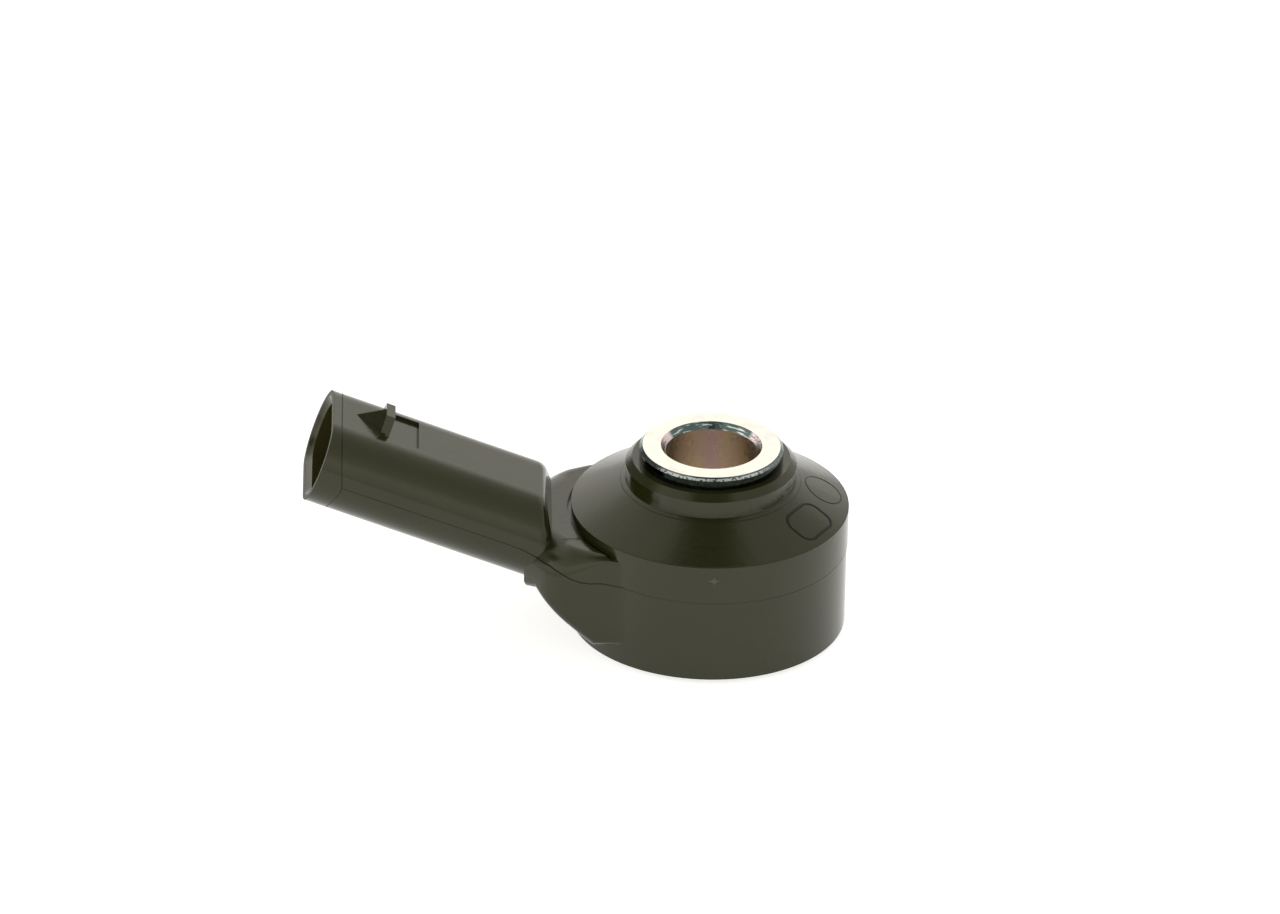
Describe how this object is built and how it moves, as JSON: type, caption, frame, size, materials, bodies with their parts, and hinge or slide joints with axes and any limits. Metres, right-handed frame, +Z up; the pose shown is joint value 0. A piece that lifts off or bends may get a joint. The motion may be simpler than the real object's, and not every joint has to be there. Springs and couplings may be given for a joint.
{
  "type": "engine knock sensor",
  "caption": "Ring-shaped engine knock sensor with a plated steel sleeve for a bolt, a black plastic body and an oval plug socket that rises to one side.",
  "frame": {"origin": "centre of the bolt bore on the sleeve's base face", "axes": "+Z up the bore, away from the engine; -X towards the mouth of the plug socket; the plug socket and body are even about the XZ plane, apart from the latch nose"},
  "size_m": [0.05, 0.0254, 0.0213],
  "materials": {
    "moulded_plastic": "moulded glass-filled plastic, matt black",
    "plated_steel": "turned steel, zinc plated and pale yellow passivated",
    "insulating_film": "plain plastic tube",
    "contact_brass": "stamped brass sheet",
    "fired_ceramic": "fired ceramic with silvered faces",
    "plain_steel": "turned steel",
    "spring_steel": "oil-tempered spring steel",
    "tinned_brass": "stamped brass, tin plated",
    "resistor_coat": "lacquered"
  },
  "bodies": {
    "root": {"housing": "moulded_plastic", "sleeve": "plated_steel", "insulating_tube": "insulating_film", "lower_insulator": "insulating_film", "upper_insulator": "insulating_film", "lower_contact_ring": "contact_brass", "upper_contact_ring": "contact_brass", "piezo_ring": "fired_ceramic", "seismic_mass": "plain_steel", "disc_spring": "spring_steel", "clamping_nut": "plain_steel", "terminal_pin_left": "tinned_brass", "terminal_pin_right": "tinned_brass", "discharge_resistor": "resistor_coat"}
  },
  "joints": []
}
